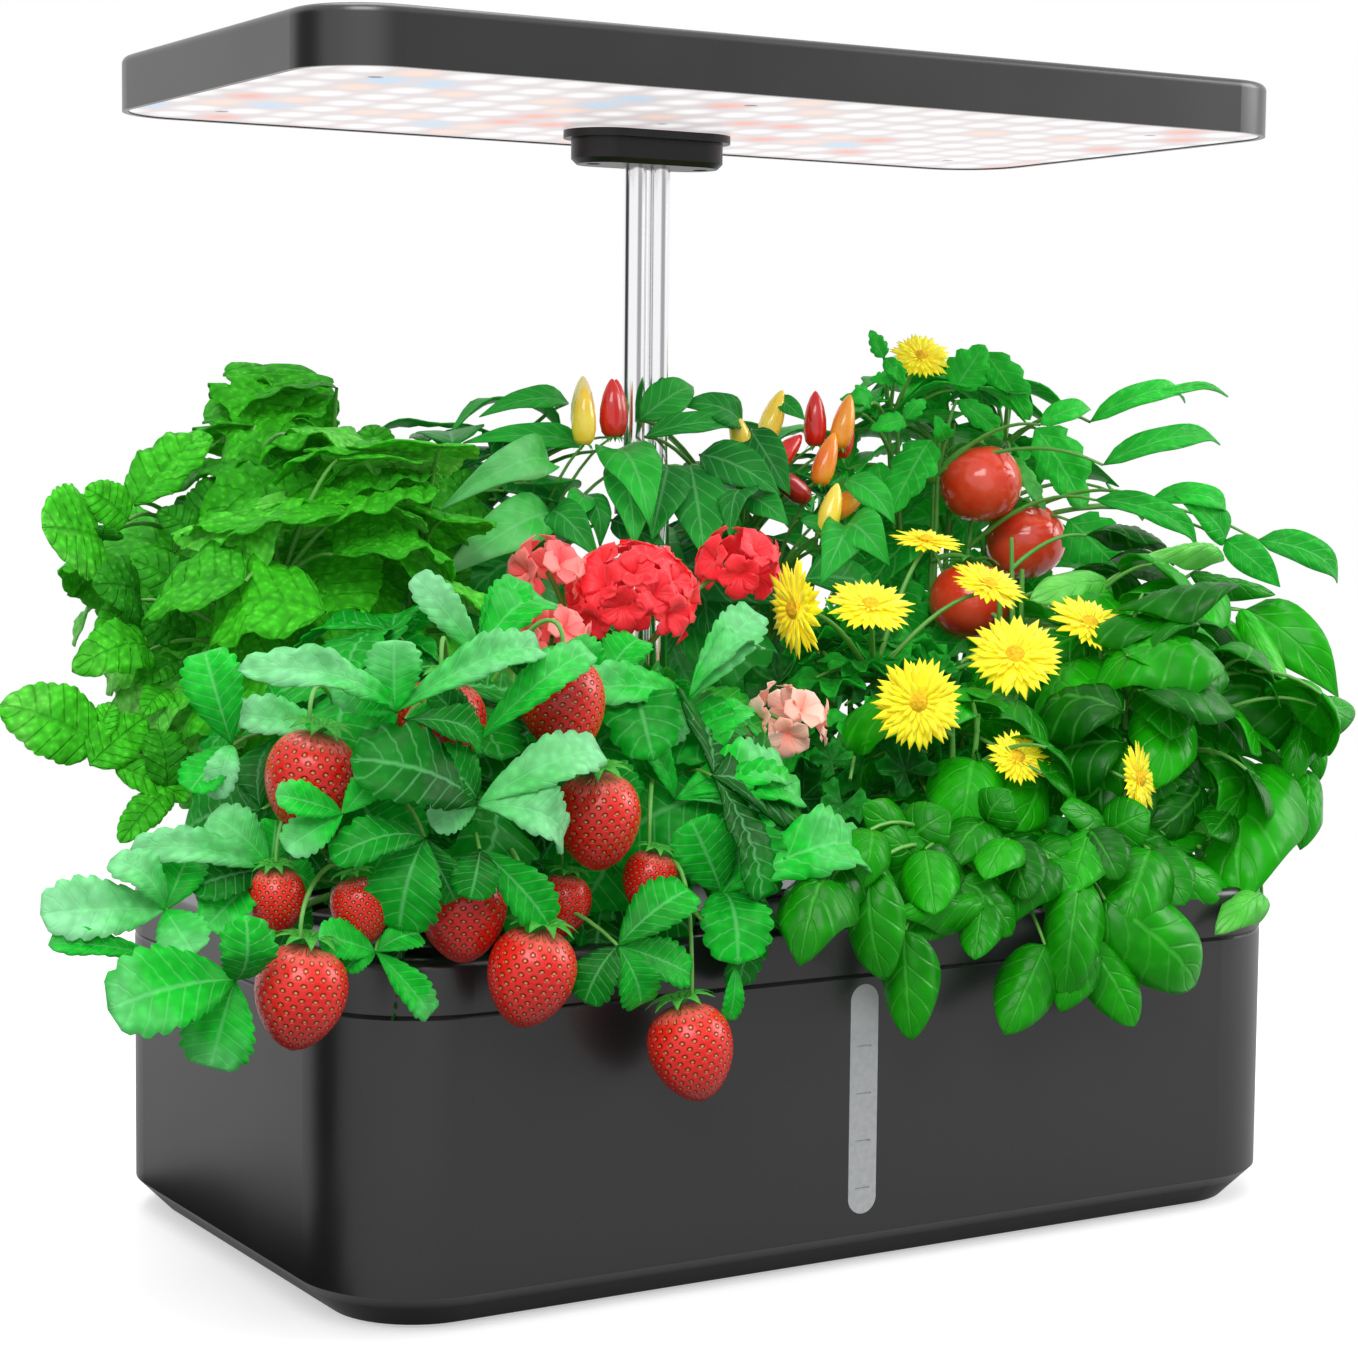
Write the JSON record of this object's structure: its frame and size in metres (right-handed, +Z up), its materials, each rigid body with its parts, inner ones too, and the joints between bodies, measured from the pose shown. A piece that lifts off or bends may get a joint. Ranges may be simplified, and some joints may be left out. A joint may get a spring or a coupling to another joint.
{
  "type": "countertop hydroponic garden",
  "caption": "Countertop hydroponic garden: water tank with level window, lift-off planted lid, circulation pump and a height-adjustable LED grow lamp on a telescopic mast.",
  "frame": {"origin": "middle of the tank's footprint, on the worktop plane under the rubber feet", "axes": "+X along the tank's long side to the right seen from the front, +Y to the back, +Z up"},
  "size_m": [0.5876, 0.2681, 0.4293],
  "materials": {
    "charcoal_abs": "fine moulded texture, satin",
    "black_abs": "moulded, satin",
    "level_window_acrylic": "frosted clear acrylic, smooth front",
    "rubber": "moulded, matt",
    "basket_plastic": "moulded polypropylene",
    "sponge": "open-cell grow sponge, damp",
    "stainless": "polished stainless tube",
    "zinc_steel": "zinc plated screws and pin",
    "circuit_board": "solder mask over glass-epoxy laminate",
    "led_board_white": "white solder mask over aluminium",
    "led_lens": "silicone over phosphor",
    "diffuser_white": "milky polycarbonate, lit from behind",
    "silicone": "translucent soft silicone",
    "foam": "open-cell filter foam",
    "pump_magnet": "ferrite rotor with moulded blades",
    "lens_green": "clear moulded light pipe",
    "mint_leaf": "wrinkled leaf, matt",
    "strawberry_leaf": "pleated leaf with a pale sheen",
    "geranium_leaf": "soft scalloped leaf",
    "pepper_leaf": "smooth pointed leaf",
    "daisy_leaf": "narrow toothed leaf",
    "tomato_leaf": "soft divided leaf",
    "basil_leaf": "glossy blistered leaf",
    "strawberry_skin": "glossy, seeded",
    "tomato_skin": "smooth, glossy",
    "pepper_skin": "smooth, glossy, yellow to red",
    "geranium_petal": "soft petals, red to peach",
    "daisy_petal": "soft yellow petals"
  },
  "bodies": {
    "tank": {"tank": "charcoal_abs", "level_window": "level_window_acrylic", "window_gasket": "silicone", "rubber_feet": "rubber"},
    "deck": {"basil_plants": "basil_leaf", "basket_01": "basket_plastic", "basket_02": "basket_plastic", "basket_03": "basket_plastic", "basket_04": "basket_plastic", "basket_05": "basket_plastic", "basket_06": "basket_plastic", "basket_07": "basket_plastic", "basket_08": "basket_plastic", "basket_09": "basket_plastic", "basket_10": "basket_plastic", "basket_11": "basket_plastic", "basket_12": "basket_plastic", "console": "black_abs", "console_screws": "zinc_steel", "control_board": "circuit_board", "daisy_flowers": "daisy_petal", "daisy_plant": "daisy_leaf", "deck": "charcoal_abs", "geranium_flowers": "geranium_petal", "geranium_plant": "geranium_leaf", "grow_sponges": "sponge", "hatch_pin": "zinc_steel", "inlet_filter": "foam", "lemon_balm_plants": "mint_leaf", "mast_collar": "black_abs", "mast_sleeve_left": "stainless", "mast_sleeve_right": "stainless", "outlet_nozzle": "black_abs", "pepper_plants": "pepper_leaf", "peppers": "pepper_skin", "power_inlet": "black_abs", "pump_cover": "black_abs", "pump_housing": "black_abs", "pump_lead": "rubber", "pump_screws": "zinc_steel", "riser_tube": "silicone", "status_lens": "lens_green", "strawberries": "strawberry_skin", "strawberry_plants": "strawberry_leaf", "tomato_plant": "tomato_leaf", "tomatoes": "tomato_skin"},
    "lamp": {"inner_rod_left": "stainless", "inner_rod_right": "stainless", "rod_glides": "black_abs", "lamp_bracket": "black_abs", "lamp_housing": "charcoal_abs", "lamp_diffuser": "diffuser_white", "led_board": "led_board_white", "leds": "led_lens", "lamp_screws": "zinc_steel"},
    "refill_hatch": {"refill_hatch": "black_abs"},
    "light_button": {"light_button": "black_abs"},
    "pump_button": {"pump_button": "black_abs"},
    "impeller": {"impeller": "pump_magnet"}
  },
  "joints": [
    {"name": "lid_lift", "type": "slide", "parent": "tank", "child": "deck", "axis": [0, 0, 1], "range_m": [0, 0.16]},
    {"name": "lamp_height", "type": "slide", "parent": "deck", "child": "lamp", "axis": [0, 0, 1], "range_m": [-0.06, 0.07]},
    {"name": "hatch_hinge", "type": "hinge", "parent": "deck", "child": "refill_hatch", "pos_m": [0, -0.0432, 0.1232], "axis": [-1, 0, 0], "range_deg": [0, 95]},
    {"name": "light_button_press", "type": "slide", "parent": "deck", "child": "light_button", "axis": [0, 0, -1], "range_m": [0, 0.0012], "stiffness_N_per_m": 600},
    {"name": "pump_button_press", "type": "slide", "parent": "deck", "child": "pump_button", "axis": [0, 0, -1], "range_m": [0, 0.0012], "stiffness_N_per_m": 600},
    {"name": "impeller_spin", "type": "hinge", "parent": "deck", "child": "impeller", "pos_m": [0, 0.045, 0.03], "axis": [0, 0, 1], "continuous": true}
  ]
}
